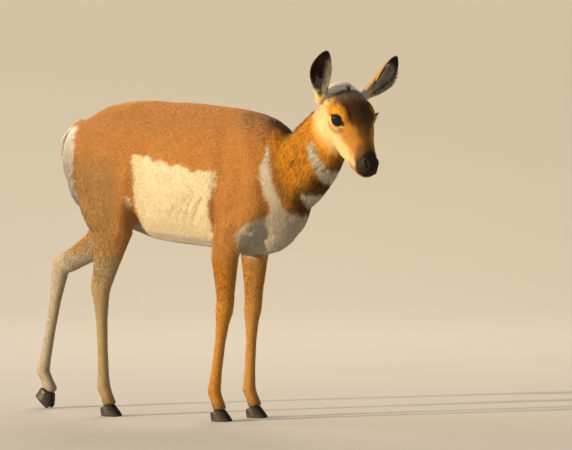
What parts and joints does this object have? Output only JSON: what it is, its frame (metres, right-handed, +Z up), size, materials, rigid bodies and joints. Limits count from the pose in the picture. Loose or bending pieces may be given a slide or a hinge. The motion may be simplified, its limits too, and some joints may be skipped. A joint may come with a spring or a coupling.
{
  "type": "pronghorn fawn",
  "caption": "Life-size still model of a young hornless pronghorn standing with one hind leg stretched back and its head turned.",
  "frame": {"origin": "on the floor, in the middle of the animal's box", "axes": "+X the way the body faces, +Y the animal's left, +Z up"},
  "size_m": [0.9746, 0.2116, 0.8521],
  "materials": {
    "coat": "short matt hair, tan and white",
    "hoof": "dark horn, faintly satin",
    "eye": "wet gloss"
  },
  "bodies": {
    "root": {"head": "coat", "neck": "coat", "torso": "coat", "hindquarters": "coat", "tail": "coat", "ear_right": "coat", "ear_left": "coat", "forearm_right": "coat", "forearm_left": "coat", "fore_cannon_right": "coat", "fore_cannon_left": "coat", "fore_pastern_right": "coat", "fore_pastern_left": "coat", "gaskin_right": "coat", "gaskin_left": "coat", "hind_cannon_right": "coat", "hind_cannon_left": "coat", "hind_pastern_right": "coat", "hind_pastern_left": "coat", "hoof_fore_right_right_claw": "hoof", "hoof_fore_right_left_claw": "hoof", "hoof_fore_left_right_claw": "hoof", "hoof_fore_left_left_claw": "hoof", "hoof_hind_right_right_claw": "hoof", "hoof_hind_right_left_claw": "hoof", "hoof_hind_left_right_claw": "hoof", "hoof_hind_left_left_claw": "hoof", "eye_right": "eye", "eye_left": "eye"}
  },
  "joints": []
}
